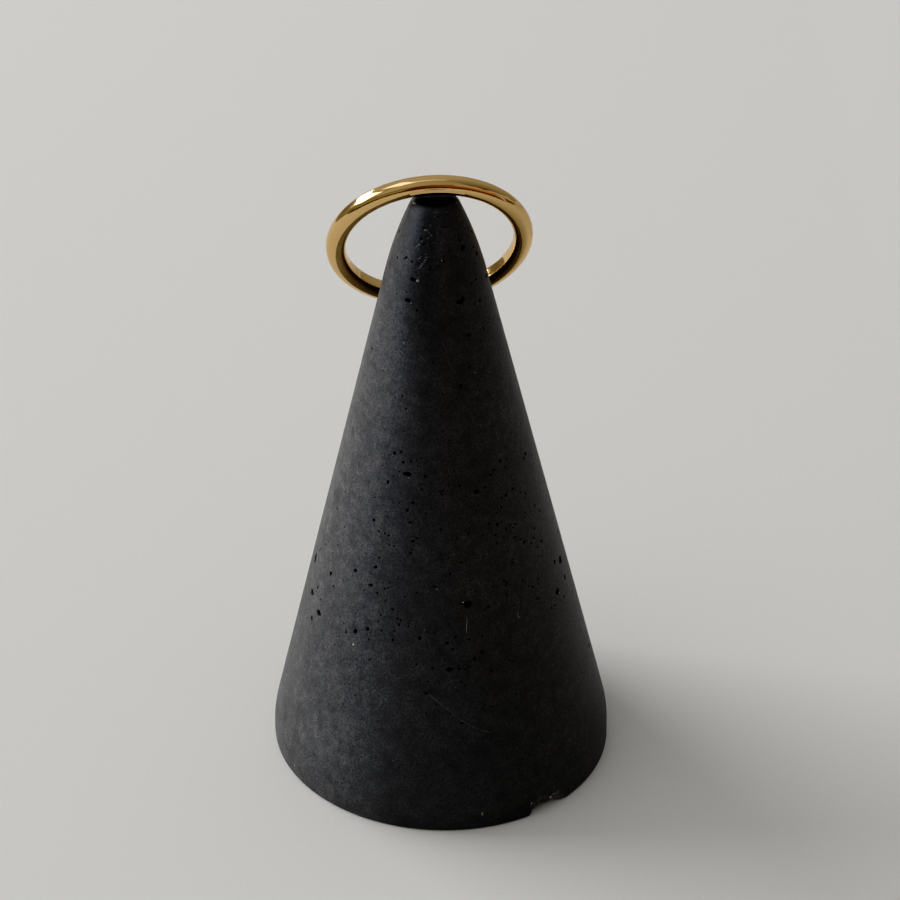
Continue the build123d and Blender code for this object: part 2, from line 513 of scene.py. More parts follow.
PORES_RIGHT = [
    (23, 37.2, 0.58, 0.75), (28.4, 37.4, 0.26), (36.3, 38.9, 0.25, 1.4), (33.5, 38.5, 0.22),
    (42, 39.5, 0.22, 1.5), (45, 38.6, 0.18), (47.5, 39.3, 0.2), (67, 38.3, 0.35), (64, 38.0, 0.3),
    (76, 36.3, 0.2), (48, 36.0, 0.3), (42, 35.7, 0.28, 1.25), (38.4, 35.7, 0.15, 2.6),
    (36, 35.8, 0.13), (57.5, 34.6, 0.25), (53.5, 35.1, 0.18), (37.5, 34.7, 0.25),
    (23, 35.7, 0.18), (18.5, 35.8, 0.13), (13.2, 38.1, 0.18), (16, 37.0, 0.13), (63.5, 32.6, 0.25),
    (67, 31.6, 0.28), (52.5, 32.4, 0.22), (53.5, 32.8, 0.2), (34, 34.3, 0.15), (36, 33.2, 0.2),
    (33.4, 33.1, 0.38), (28.3, 33.5, 0.22), (41.5, 32.5, 0.22), (44.4, 32.3, 0.22), (38.4, 32.3, 0.2),
    (16, 33.0, 0.22), (14.3, 33.3, 0.15), (31.5, 32.1, 0.28), (43, 31.0, 0.2), (46.3, 30.4, 0.25),
    (48.8, 29.9, 0.3), (55.6, 29.7, 0.2), (62, 28.6, 0.32), (58.5, 30.5, 0.25), (57.5, 28.4, 0.2),
    (53.5, 29.3, 0.18), (36, 31.5, 0.13), (31.5, 31.2, 0.18), (38.7, 28.5, 0.24), (39.5, 28.8, 0.18),
    (11.5, 30.0, 0.22), (13, 30.5, 0.15), (24, 32.5, 0.15), (69.5, 25.1, 0.4), (77, 24.3, 0.8),
    (32.4, 27.0, 0.2), (33.6, 26.7, 0.25), (33, 26.4, 0.24), (43, 26.1, 0.22), (46, 25.2, 0.2),
    (48.5, 24.8, 0.22), (53, 25.2, 0.18), (52.5, 24.7, 0.18), (77, 22.1, 0.5), (65.5, 22.1, 0.62),
    (60.7, 21.1, 0.25), (58, 21.2, 0.28), (70.3, 20.8, 0.3), (66, 20.9, 0.2), (62, 21.9, 0.15),
    (33, 25.3, 0.2), (50, 23.3, 0.25), (51, 23.2, 0.15), (30, 18.3, 0.2), (31.5, 18.1, 0.15),
]
PORES_LOW_FRONT = [
    (13.3, 25.4, 1.05, 0.62), (4.0, 18.5, 0.6, 0.8), (30.0, 7.0, 0.16), (-24.0, 12.0, 0.16),
    (-35.0, 14.0, 0.15),
    (5.5, 28.9, 0.25), (-2, 27.6, 0.2), (-10.3, 26.8, 0.2), (-8, 26.8, 0.15), (12, 26.8, 0.15),
    (23, 24.7, 0.28), (21.3, 24.5, 0.24), (4.5, 23.5, 0.18), (-8.6, 21.9, 0.35),
    (7, 22.0, 0.35, 0.6), (3.2, 21.4, 0.4, 0.65), (12.8, 21.6, 0.28, 0.6), (18.7, 21.7, 0.22),
    (5.6, 20.7, 0.25),
    (0, 20.8, 0.15), (7.7, 20.8, 0.15), (18, 20.0, 0.26), (14.7, 19.4, 0.25, 1.5), (-3, 18.7, 0.26),
    (8, 18.5, 0.28), (10.5, 18.4, 0.15), (21.5, 17.7, 0.26), (8.6, 17.1, 0.2), (-9.7, 19.0, 0.18),
    (-2.3, 22.6, 0.15), (-4.7, 17.2, 0.15), (10, 16.6, 0.18), (-5.5, 15.9, 0.26), (-1.5, 14.7, 0.2),
    (8, 12.5, 0.28), (19, 10.3, 0.18), (7, 16.1, 0.15), (3.5, 7.9, 0.15), (9, 10.2, 0.15),
]
charted = PORES_NEAR_TIP + PORES_UPPER + PORES_LEFT + PORES_RIGHT + PORES_LOW_FRONT
print(len(charted), "pores charted")

# %% Wide shallow hollows: (degrees, height in mm, width in mm, depth in mm)
HOLLOWS = [
    (15.5, 5.7, 0.5, 0.05), (-1.7, 1.9, 0.5, 0.06),
    (15.5, 1.8, 0.4, 0.06), (-20, 61.0, 1.1, 0.06), (5, 62.5, 1.2, 0.05),
]
print(len(HOLLOWS), "hollows charted")

# %% Random pores for the parts of the surface that are not charted
SEED = 11
PORES_A_SIDE = 230
BACK_FROM, BACK_TO = 84, 177
POROUS_FROM, POROUS_TO = 8, 64
SMALLEST_PORE, LARGEST_PORE = 0.13, 0.6
LARGE_ONES_RARE = 2.2
dice = np.random.default_rng(SEED)


def scatter(count, from_degrees, to_degrees):
    """Pores at random over a patch: many small ones and few large ones."""
    found = []
    while len(found) < count:
        height = dice.uniform(POROUS_FROM, POROUS_TO)
        share = np.interp(height * MM, outline_h, outline_r) / FOOT_RADIUS
        if dice.random() > share:
            continue
        width = SMALLEST_PORE * (LARGEST_PORE / SMALLEST_PORE) ** (dice.random() ** LARGE_ONES_RARE)
        found.append((dice.uniform(from_degrees, to_degrees), height, width))
    return found


back_pores = scatter(PORES_A_SIDE, BACK_FROM, BACK_TO) + scatter(PORES_A_SIDE, -BACK_TO, -BACK_FROM)
print(len(back_pores), "pores at random")

# %% [markdown]
# ## The cone's skin, cut flat
#
# A pit is too small for the corners of an evenly divided cone, and dividing all of it finely enough would
# take millions of faces. Instead the skin is laid out flat, as a paper cone is before it is glued. On that
# flat sheet each pore gets its own rings of corners, plain rows fill the rest, and a triangulation joins
# them up. Then the sheet is rolled back onto the cone and the corners of each pore are pushed inwards.


# %% Flat sheet and cone surface: the same point in two places
FLANK_LOW, FLANK_HIGH = 10 * MM, 57 * MM
FACING_REACH = 0.4 * MM
flank = (outline_h > FLANK_LOW) & (outline_h < FLANK_HIGH)
slope = np.polyfit(outline_h[flank], outline_r[flank], 1)[0]
half_angle = math.atan(-slope)
slant_at_foot = FOOT_RADIUS / math.sin(half_angle)
sheet_turn = math.sin(half_angle)


def lay_flat(degrees, along):
    """From degrees round and distance along the outline to a place on the flat sheet."""
    slant = slant_at_foot - along
    turn = np.radians(degrees) * sheet_turn
    return np.stack([slant * np.sin(turn), -slant * np.cos(turn)], -1)


def find_on_sheet(flat):
    """The way back: degrees round and distance along the outline."""
    slant = np.hypot(flat[:, 0], flat[:, 1])
    turn = np.arctan2(flat[:, 0], -flat[:, 1])
    return np.degrees(turn / sheet_turn), slant_at_foot - slant


def outwards_at(degrees):
    """The level way out from the cone's axis, a row for each angle."""
    turn = np.radians(degrees)
    return np.outer(np.sin(turn), cone_side) - np.outer(np.cos(turn), cone_back)


def on_cone(degrees, along):
    """The place on the cone and the way its surface faces there."""
    outwards = outwards_at(degrees)
    height = np.interp(along, outline_s, outline_h)
    radius = np.interp(along, outline_s, outline_r)
    above, below = along + FACING_REACH, along - FACING_REACH
    rise = np.interp(above, outline_s, outline_h) - np.interp(below, outline_s, outline_h)
    gain = np.interp(above, outline_s, outline_r) - np.interp(below, outline_s, outline_r)
    facing = rise[:, None] * outwards - np.outer(gain, cone_up)
    facing /= np.linalg.norm(facing, axis=1)[:, None]
    return np.outer(height, cone_up) + radius[:, None] * outwards, facing


print(f"half angle {math.degrees(half_angle):.2f} degrees")
print(f"sheet opens {math.degrees(2 * math.pi * sheet_turn):.1f} degrees")


# %% The shape of a pit: how far out each ring of corners lies, and how deep it lies, both as shares
PORE_RINGS = np.array([1.16, 1.03, 0.97, 0.88, 0.70, 0.40, 0.0])
PORE_SINK = np.array([0.0, 0.015, 0.16, 0.50, 0.80, 0.96, 1.0])
HOLLOW_RINGS = np.array([1.25, 1.0, 0.8, 0.6, 0.4, 0.2, 0.0])
HOLLOW_SINK = np.array([0.0, 0.08, 0.3, 0.6, 0.85, 0.97, 1.0])
UNEVEN_WIDTH = 0.12
LOBE_SIZE = 0.08


class Pit:
    """A pore or hollow on the flat sheet: its middle, size, depth and uneven edge."""

    def __init__(self, degrees, height, width, tall, depth, rings, sink, spokes):
        along = np.interp(height * MM, outline_h, outline_s)
        self.middle = lay_flat(np.array([degrees]), np.array([along]))[0]
        turn = math.radians(degrees) * sheet_turn
        self.side = np.array([math.cos(turn), math.sin(turn)])
        self.up = np.array([-math.sin(turn), math.cos(turn)])
        stretch = 1 + UNEVEN_WIDTH * dice.standard_normal()
        self.half_width = width * MM / 2 * stretch
        self.half_height = width * MM / 2 * tall / stretch
        self.reach = max(self.half_width, self.half_height)
        self.depth = depth * MM
        self.rings = rings
        self.sink = sink
        self.spokes = spokes
        self.lobes = LOBE_SIZE * dice.standard_normal(3)
        self.phase = dice.uniform(0, 2 * math.pi, 3)

    def edge(self, turn):
        """How far the edge lies from the middle, in each direction."""
        wave = 1 + sum(self.lobes[k] * np.cos((k + 2) * turn + self.phase[k]) for k in range(3))
        oval = np.hypot(self.half_height * np.cos(turn), self.half_width * np.sin(turn))
        return wave * self.half_width * self.half_height / oval

    def corners(self):
        """The corners that draw it on the sheet."""
        turn = np.linspace(0, 2 * math.pi, self.spokes, endpoint=False)
        found = [self.middle[None, :]]
        for k, ring in enumerate(self.rings[:-1]):
            angle = turn + k * math.pi / self.spokes
            reach = ring * self.edge(angle)
            offset = np.outer(reach * np.cos(angle), self.side) + np.outer(reach * np.sin(angle), self.up)
            found.append(self.middle + offset)
        return np.concatenate(found)

    def steps_out(self, flat):
        """How far out each point lies, where 1 is the edge."""
        gap = flat - self.middle
        turn = np.arctan2(gap @ self.up, gap @ self.side)
        return np.hypot(gap[:, 0], gap[:, 1]) / self.edge(turn)

    def share(self, flat):
        """How deep each point lies in it, as a share of its depth."""
        return np.interp(self.steps_out(flat), self.rings[::-1], self.sink[::-1])


# %% All the pits
WIDE_PORE = 0.36
WIDE_SPOKES, SMALL_SPOKES, HOLLOW_SPOKES = 24, 14, 20
LEAST_DEPTH, MOST_DEPTH = 0.7, 1.0
HOLLOW_TALL = 0.6


def pore(degrees, height, width, tall=1.0):
    """A sharp-edged pit, nearly as deep as it is wide."""
    spokes = WIDE_SPOKES if width > WIDE_PORE else SMALL_SPOKES
    depth = width * dice.uniform(LEAST_DEPTH, MOST_DEPTH)
    return Pit(degrees, height, width, tall, depth, PORE_RINGS, PORE_SINK, spokes)


def shallow(degrees, height, width, depth):
    """A wide dip with a soft edge."""
    return Pit(degrees, height, width, HOLLOW_TALL, depth, HOLLOW_RINGS, HOLLOW_SINK, HOLLOW_SPOKES)


pores = [pore(*row) for row in charted + back_pores]
hollows = [shallow(*row) for row in HOLLOWS]
pits = pores + hollows
print(len(pits), "pits")

# %% Plain rows of corners, then the pits' own corners
SHEET_LOW = OUTLINE_START
SHEET_TOP = np.interp(65.6 * MM, outline_h, outline_s)
FOOT_COUNT = 512
TIP_COUNT = 64
FIRST_STEP = 0.35 * MM
LONGEST_STEP = 0.9 * MM
STEP_GROWTH = 1.25
CORNER_SPREAD = 1.1
LEAST_ROOM = 0.3 * MM
NARROW_STEP, STEP_PER_RADIUS = 0.5 * MM, 0.02
NEAR_PIT = 3
CLEAR_OF_PIT = 1.35
AT_END = 0.01 * MM
AT_SEAM = 179.95


def row_of(along, count, shift=0.0):
    """A row of corners round the cone, both ends of the seam included."""
    degrees = np.linspace(-180, 180, count + 1)
    degrees[1:-1] += shift * 360 / count
    return lay_flat(degrees, np.full(count + 1, along))


rows = [row_of(SHEET_LOW, FOOT_COUNT)]
step = FIRST_STEP
along = SHEET_LOW + step
shift = -0.25
while along < SHEET_TOP - LEAST_ROOM:
    radius = np.interp(along, outline_s, outline_r)
    rows.append(row_of(along, int(2 * math.pi * radius / (step * CORNER_SPREAD)), shift))
    shift = -shift
    step = min(step * STEP_GROWTH, LONGEST_STEP, NARROW_STEP + STEP_PER_RADIUS * radius)
    along += step
rows.append(row_of(SHEET_TOP, TIP_COUNT))
row_points = np.concatenate(rows)
clear = np.ones(len(row_points), bool)
for pit in pits:
    near = np.flatnonzero(np.abs(row_points - pit.middle).max(1) < pit.reach * NEAR_PIT)
    inside = pit.steps_out(row_points[near]) < CLEAR_OF_PIT
    clear[near[inside]] = False
row_degrees, row_along = find_on_sheet(row_points)
on_seam = np.abs(row_degrees) > AT_SEAM
on_end = (row_along < SHEET_LOW + AT_END) | (row_along > SHEET_TOP - AT_END)
row_points = row_points[clear | on_seam | on_end]
sheet_points = np.concatenate([row_points] + [pit.corners() for pit in pits])
print(len(row_points), "plain corners,", len(sheet_points), "in all")

# %% Join them up
FULL_HULL = 0
SAME_PLACE = 1e-5
made = delaunay_2d_cdt([Vector(p / MM) for p in sheet_points], [], [], FULL_HULL, SAME_PLACE)
flat = np.array([tuple(p) for p in made[0]]) * MM
faces = np.array(made[2])
degrees_round, along = find_on_sheet(flat)
top_row = along > SHEET_TOP - AT_END
left_seam = degrees_round < -AT_SEAM
right_seam = degrees_round > AT_SEAM
outside = top_row[faces].all(1) | left_seam[faces].all(1) | right_seam[faces].all(1)
faces = faces[~outside]
print(len(flat), "corners and", len(faces), "triangles on the sheet")

# %% Roll it up and push the pits in; "hollow" says how far inside a pore each corner lies, for its painted shade
PORE_SHADE_FROM, PORE_SHADE_OVER = 0.25, 0.5
PIT_REACH = 1.6
sink = np.zeros(len(flat))
hollow = np.zeros(len(flat))
for pit in pits:
    near = np.flatnonzero(np.abs(flat - pit.middle).max(1) < pit.reach * PIT_REACH)
    share = pit.share(flat[near])
    sink[near] = np.maximum(sink[near], share * pit.depth)
    if pit in pores:
        hollow[near] = np.maximum(hollow[near], np.clip((share - PORE_SHADE_FROM) / PORE_SHADE_OVER, 0, 1))
skin, facing = on_cone(degrees_round, along)
skin -= facing * sink[:, None]
print(f"deepest pit {sink.max() / MM:.2f} mm")

# %% [markdown]
# ## Tip, foot and broken rim
#
# The sheet stops short of the tip and of the foot. Both ends are plain rings of corners that start from the
# sheet's own border: over the rounded tip to its middle, and down round the small foot radius to the
# flat underside. Where the rim was knocked, the real concrete broke off along a few flat facets. A Boolean
# modifier could cut them, but it leaves long thin faces beside the break. Here a corner that lies outside
# a facet's plane is pulled straight back onto it, which keeps every face. A little noise then roughens the
# fresh break.

# %% A shell that grows
def ring_faces(outer, inner, flip):
    """Two triangles for each step between two closed rings."""
    a, b = outer, np.roll(outer, -1)
    c, d = inner, np.roll(inner, -1)
    pair = np.concatenate([np.stack([a, b, d], 1), np.stack([a, d, c], 1)])
    return pair[:, ::-1] if flip else pair


class Shell:
    """Corners and triangles, with more of both added after the first ones."""

    def __init__(self, corners, faces):
        self.corners = [corners]
        self.faces = [faces]
        self.count = len(corners)

    def add(self, corners, faces):
        """More corners, and triangles already numbered for the whole shell."""
        self.corners.append(corners)
        self.faces.append(faces)
        self.count += len(corners)

    def close(self, start, rings, flip):
        """Rings of corners that carry on from a border, down to one corner in the middle."""
        last = start
        for places in rings[:-1]:
            ring = np.arange(self.count, self.count + len(places))
            self.add(places, ring_faces(last, ring, flip))
            last = ring
        middle = np.full(len(last), self.count)
        fan = np.stack([last, np.roll(last, -1), middle], 1)
        self.add(rings[-1], fan[:, ::-1] if flip else fan)

    def joined(self):
        """All its corners and all its triangles."""
        return np.concatenate(self.corners), np.concatenate(self.faces)


def border(chosen):
    """The sheet's border corners in order round the cone, without the seam's second copy."""
    found = np.flatnonzero(chosen & ~right_seam)
    return found[np.argsort(degrees_round[found])]


# %% Close the tip
TIP_ROWS = 15
shell = Shell(skin, faces)
tip_ring = border(top_row)
tip_degrees = degrees_round[tip_ring]
tip_steps = np.linspace(SHEET_TOP, outline_s[-1], TIP_ROWS + 1)[1:-1]
tip_places = [on_cone(tip_degrees, np.full(len(tip_degrees), s))[0] for s in tip_steps]
tip_places.append((cone_up * TIP_HEIGHT)[None, :])
shell.close(tip_ring, tip_places, flip=False)
print(len(tip_ring), "corners round the tip")

# %% Close the foot: down the lip, round the eased edge, and across the underside
FOOT_EASE = 0.35 * MM
LIP_SHARES = (0.75, 0.5, 0.25)
EASE_TURNS = (0, 22.5, 45, 67.5, 90)
UNDERSIDE_SHARES = (0.97, 0.9, 0.6, 0.3)
foot_ring = border(along < SHEET_LOW + AT_END)
foot_out = outwards_at(degrees_round[foot_ring])
level_out = foot_out * np.array([1, 1, 0])
lip = np.outer(np.full(len(foot_ring), OUTLINE_START), cone_up) + FOOT_RADIUS * foot_out
floor_reach = lip[:, 2] / cone_up[2]
at_floor = lip - np.outer(floor_reach, cone_up)
foot_places = []
for share in LIP_SHARES:
    foot_places.append(at_floor + np.outer(FOOT_EASE + (floor_reach - FOOT_EASE) * share, cone_up))
for turn in np.radians(EASE_TURNS):
    drop = FOOT_EASE * (1 - math.sin(turn))
    inward = FOOT_EASE * (1 - math.cos(turn))
    foot_places.append(at_floor - inward * level_out + np.array([0, 0, drop]))
for share in UNDERSIDE_SHARES:
    foot_places.append(foot_places[-1] * share)
foot_places.append(np.zeros((1, 3)))
shell.close(foot_ring, foot_places, flip=True)
corners, triangles = shell.joined()
print(len(corners), "corners and", len(triangles), "triangles on the cone")


# %% Chips: degrees from and to, height of the break's top and its bite in mm, how crisply it starts and ends
RIM_CHIPS = [
    (32.2, 47.0, 0.9, 0.46, 0.5, 7.0),
    (34.0, 40.0, 1.7, 0.36, 1.5, 3.0),
    (39.0, 45.0, 1.3, 0.30, 1.5, 3.0),
    (31.0, 33.6, 1.5, 0.16, 0.8, 0.8),
    (114.0, 121.0, 1.4, 0.34, 1.0, 3.0),
    (-146.0, -139.0, 1.1, 0.28, 0.8, 3.0),
]
BREAK_TILT = math.radians(50)
GRIT_SIZE = 0.45 * MM
GRIT_DEPTH = 0.10 * MM
LEAST_BITE = 0.02 * MM
FULL_BREAK = 0.12 * MM
FINE_GRIT = 0.4
RIM_SHARE = 0.9
corner_degrees = np.degrees(np.arctan2(corners @ cone_side, -(corners @ cone_back)))
corner_radius = np.linalg.norm(corners - np.outer(corners @ cone_up, cone_up), axis=1)
at_rim = corner_radius > FOOT_RADIUS * RIM_SHARE


def cut_chip(start, end, top, bite, crisp_start, crisp_end):
    """Pulls the corners outside one slanting facet back onto it; returns how far each one moved."""
    turn = math.radians((start + end) / 2)
    out = math.sin(turn) * cone_side - math.cos(turn) * cone_back
    facet = out * math.cos(BREAK_TILT) - cone_up * math.sin(BREAK_TILT)
    reach = (corners - out * FOOT_RADIUS - cone_up * top * MM) @ facet
    begun = np.clip((corner_degrees - start) / crisp_start, 0, 1)
    ended = np.clip((end - corner_degrees) / crisp_end, 0, 1)
    moved = np.clip(reach, 0, bite * MM) * begun * ended * at_rim
    corners[:] = corners - np.outer(moved, facet)
    return moved


bitten = np.zeros(len(corners))
for chip in RIM_CHIPS:
    bitten = np.maximum(bitten, cut_chip(*chip))
for index in np.flatnonzero(bitten > LEAST_BITE):
    spot = Vector(corners[index])
    grit = noise.noise(spot / GRIT_SIZE) + 0.5 * noise.noise(spot / (FINE_GRIT * GRIT_SIZE))
    inward = corners[index] * np.array([1, 1, 0]) / np.linalg.norm(corners[index][:2])
    corners[index] -= inward * GRIT_DEPTH * min(1.0, bitten[index] / GRIT_DEPTH) * (0.5 + grit)
broken = np.clip(bitten / FULL_BREAK, 0, 1)
corners[:, 2] = np.maximum(corners[:, 2], 0.0)
print(int((broken > 0.2).sum()), "corners in the chips")

# %% [markdown]
# ## Crumbs, fibres, a scratch and two painted lit lips
#
# The few pale marks are grains of sand and cement stuck to the skin, a few hairs of fibre, and the light
# powder in an old scratch. Two more pale lumps are painted light: the lit lower lips of two large pores.
# They could be spots of colour in the finish, but as shapes they also catch the light. Each is a tiny lump
# or thread, half sunk in the surface, and they join the cone's own mesh. A number on each corner says how
# pale it is.

# %% Crumbs and two painted lit lips: (degrees, height in mm, width in mm, how much taller than wide, how pale)
CRUMBS_AND_LIT_LIPS = [
    (-39.0, 19.4, 0.26, 1.0, 1.0), (11.2, 25.7, 0.20, 0.8, 0.6), (-1.0, 27.3, 0.28, 0.6, 0.18),
    (45.0, 22.3, 0.22, 1.0, 0.12), (13.7, 1.9, 0.28, 1.9, 0.22), (31.7, 1.5, 0.22, 1.5, 0.4),
    (35.0, 2.0, 0.30, 0.5, 0.14), (39.7, 1.1, 0.36, 0.9, 0.5), (41.0, 1.3, 0.22, 1.0, 0.3),
    (43.0, 1.3, 0.30, 0.7, 0.2), (-60.0, 1.9, 0.22, 1.6, 0.30), (8.5, 61.5, 0.17, 1.0, 0.5),
    # Painted light: (-17.6, 38.95) and (66.8, 21.7) below are the lit lower lips of two large pores
    (33.0, 49.5, 0.18, 1.0, 0.3), (-30.5, 52.8, 0.18, 1.0, 0.4), (-17.6, 38.95, 0.3, 0.45, 0.2),
    (66.8, 21.7, 0.34, 0.6, 0.2), (-21.5, 59.4, 0.46, 0.8, 0.30), (-27.0, 57.0, 0.30, 0.5, 0.2),
    (-25.5, 62.9, 0.32, 0.7, 0.22), (-28.5, 62.7, 0.20, 1.2, 0.12), (-22.0, 63.2, 0.24, 0.5, 0.15),
    (-17.0, 64.35, 0.50, 0.45, 0.17), (-14.0, 64.25, 0.26, 0.6, 0.12), (-9.0, 64.8, 0.14, 2.2, 0.15),
    (-6.5, 63.9, 0.28, 0.7, 0.12), (-10.0, 64.1, 0.22, 0.8, 0.14), (-12.0, 63.6, 0.26, 0.6, 0.10),
    (-12.0, 61.75, 0.36, 0.6, 0.12), (-13.5, 61.5, 0.44, 0.5, 0.08), (-15.0, 61.3, 0.34, 0.7, 0.11),
    (-16.8, 61.1, 0.46, 0.5, 0.08), (-18.5, 60.9, 0.34, 0.6, 0.11), (-20.3, 60.65, 0.40, 0.5, 0.07),
    (-13.0, 62.1, 0.34, 0.5, 0.10), (-43.0, 61.95, 0.30, 0.5, 0.22), (-41.0, 61.15, 0.14, 1.4, 0.2),
    (-72.0, 66.15, 0.40, 0.7, 0.55), (-66.0, 66.2, 0.30, 0.6, 0.4), (-78.0, 65.4, 0.26, 1.6, 0.16),
    (6.0, 66.0, 0.20, 0.8, 0.10), (0.0, 65.6, 0.16, 0.9, 0.10), (28.0, 65.9, 0.22, 1.0, 0.07),
    (72.0, 66.1, 0.24, 0.8, 0.25), (55.0, 64.8, 0.30, 1.3, 0.07), (62.0, 64.0, 0.30, 1.2, 0.06),
    (140.0, 31.0, 0.3, 0.9, 0.5), (-120.0, 14.0, 0.24, 1.0, 0.4), (168.0, 47.0, 0.22, 1.1, 0.4),
]
LUMP_TURNS = 8
LUMP_RINGS = ((1.0, -0.125), (0.7, 0.11))
LUMP_TOP = 0.2
LUMP_LEAST, LUMP_MOST = 0.75, 1.15


def on_skin(degrees, height):
    """A place on the cone's skin, with the ways out, along and up from it."""
    along = np.interp(height * MM, outline_h, outline_s)
    spot, facing = on_cone(np.array([degrees]), np.array([along]))
    side = np.cross(cone_up, facing[0])
    side /= np.linalg.norm(side)
    return spot[0], facing[0], side, np.cross(facing[0], side)


def lump(degrees, height, width, tall, paleness):
    """A rough little dome: two rings and a top, half sunk in the skin."""
    spot, out, side, up = on_skin(degrees, height)
    places = []
    for share, lift in LUMP_RINGS:
        for k in range(LUMP_TURNS):
            turn = 2 * math.pi * k / LUMP_TURNS
            reach = width * MM / 2 * share * dice.uniform(LUMP_LEAST, LUMP_MOST)
            offset = side * math.cos(turn) + up * (tall * math.sin(turn))
            places.append(spot + reach * offset + out * width * MM * lift)
    places.append(spot + out * width * MM * LUMP_TOP)
    outer = np.arange(LUMP_TURNS)
    inner = outer + LUMP_TURNS
    top = np.full(LUMP_TURNS, 2 * LUMP_TURNS)
    cap = np.stack([inner, np.roll(inner, -1), top], 1)
    return np.array(places), np.concatenate([ring_faces(outer, inner, False), cap]), paleness


crumbs_and_lit_lips = [lump(*row) for row in CRUMBS_AND_LIT_LIPS]
print(len(crumbs_and_lit_lips), "crumbs_and_lit_lips")

# %% Fibres and scratch: the places along each (degrees, height in mm), width in mm, how pale
THREADS = [
    ([(12.2, 24.1), (12.5, 23.6), (12.0, 23.0), (11.8, 22.3)], 0.07, 0.30),
    ([(37.6, 23.1), (37.1, 22.8), (37.3, 22.5), (38.4, 22.3)], 0.06, 0.35),
    ([(-19.0, 61.9), (-22.0, 61.6), (-25.0, 61.5)], 0.12, 0.12),
    ([(-4.6, 15.9), (-2.8, 15.45), (-0.5, 14.95), (1.2, 14.5)], 0.09, 0.12),
    ([(1.0, 14.55), (3.0, 14.1), (5.0, 13.55), (6.4, 13.2)], 0.08, 0.09),
    ([(6.2, 13.25), (8.0, 12.75), (10.2, 12.3)], 0.09, 0.13),
    ([(10.0, 12.35), (12.5, 11.85), (14.5, 11.55)], 0.08, 0.10),
    ([(14.3, 11.6), (16.5, 11.25), (18.8, 10.95)], 0.09, 0.14),
]
END_SHARE = 0.25
RIDGE_SHARE = 0.9


def thread(places, width, paleness):
    """A thin ridge of four sides that follows the places and runs out to a point at both ends."""
    found = []
    last = len(places) - 1
    for index, (degrees, height) in enumerate(places):
        spot, out, side, up = on_skin(degrees, height)
        before, after = places[max(index - 1, 0)], places[min(index + 1, last)]
        ahead = on_skin(*after)[0] - on_skin(*before)[0]
        ahead /= np.linalg.norm(ahead)
        across = np.cross(out, ahead)
        half = width * MM / 2 * (END_SHARE if index in (0, last) else 1.0)
        ridge = out * half * RIDGE_SHARE
        found += [spot + across * half, spot + ridge, spot - across * half, spot - out * half]
    quads = []
    for index in range(last):
        here, there = 4 * index + np.arange(4), 4 * index + 4 + np.arange(4)
        quads.append(ring_faces(here, there, False))
    return np.array(found), np.concatenate(quads), paleness


threads = [thread(*row) for row in THREADS]
shell = Shell(corners, triangles)
pale = [np.zeros(len(corners))]
for places, mark_triangles, paleness in crumbs_and_lit_lips + threads:
    shell.add(places, mark_triangles + shell.count)
    pale.append(np.full(len(places), paleness))
corners, triangles = shell.joined()
pale = np.concatenate(pale)
print(len(threads), "threads")

# %% [markdown]
# ## Dust, film with painted light, and painted shade
#
# Cast concrete is not one black. Cement dries on its skin as a thin pale film. Its spread here is also
# painted light: it is thickest on the left flank, which faces the window, gone from the front middle, thin
# on the right, and thinned in front near the tip. Handling leaves a little dust. Behind, low in front, down
# the middle and close under the ring, painted shade makes the black deepest; close under the ring it stands
# for the ring's shadow. None of these has an edge, so each is a number on the corners, for the finish to
# read. The numbers could be painted on with a brush. Short tables of how much there is round the cone and
# up it, multiplied, are as quick and can be read and changed later.

# %% Dusty patches: (degrees, height in mm, reach in mm, strength)
DUST = [
    (-24.0, 63.4, 1.6, 0.7), (-14.0, 61.4, 1.3, 0.6), (-40.0, 62.5, 2.0, 0.4), (-48.0, 20.0, 7.0, 0.5),
    (-30.0, 33.0, 6.0, 0.35), (-62.0, 45.0, 8.0, 0.4), (150.0, 25.0, 9.0, 0.5), (-150.0, 45.0, 9.0, 0.5),
]
dusty = np.zeros(len(corners))
for degrees, height, reach, strength in DUST:
    away = np.linalg.norm(corners - on_skin(degrees, height)[0], axis=1) / (reach * MM)
    dusty = np.maximum(dusty, strength * np.exp(-away ** 2))
print(len(DUST), "dusty patches")

# %% Film and painted light round the cone: (degrees, share), and up it: (height in mm, share)
FILM_AND_LIGHT_ROUND = [
    (-180, 0.0), (-130, 0.05), (-104, 0.4), (-90, 1.2), (-80, 1.1), (-65, 0.80), (-50, 0.66), (-35, 0.37),
    (-27, 0.20), (-19, 0.0), (25, 0.0), (40, 0.16), (55, 0.20), (70, 0.28), (80, 0.36), (100, 0.1),
    (120, 0.0), (180, 0.0),
]
FILM_AND_LIGHT_UP = [(22, 0.68), (36, 1.0)]
TOWARDS_TIP = [(48, 0.0), (62, 1.0)]
TIP_FRONT = [(-76, 0.0), (-44, 1.0)]
LIGHT_TAKEN_AT_TIP = 0.85


def read_off(table, values):
    """Reads each value off a short table of (place, share)."""
    places, shares = zip(*table)
    return np.interp(values, places, shares)


round_degrees = np.degrees(np.arctan2(corners @ cone_side, -(corners @ cone_back)))
height_mm = corners @ cone_up / MM
towards_tip = read_off(TOWARDS_TIP, height_mm)
film_and_light = read_off(FILM_AND_LIGHT_ROUND, round_degrees) * read_off(FILM_AND_LIGHT_UP, height_mm)
# The painted light is taken off the upper cone towards the tip, on all but the far left flank.
film_and_light *= 1 - LIGHT_TAKEN_AT_TIP * towards_tip * read_off(TIP_FRONT, round_degrees)
print(f"bloom on {(film_and_light > 0).mean():.0%} of the corners")
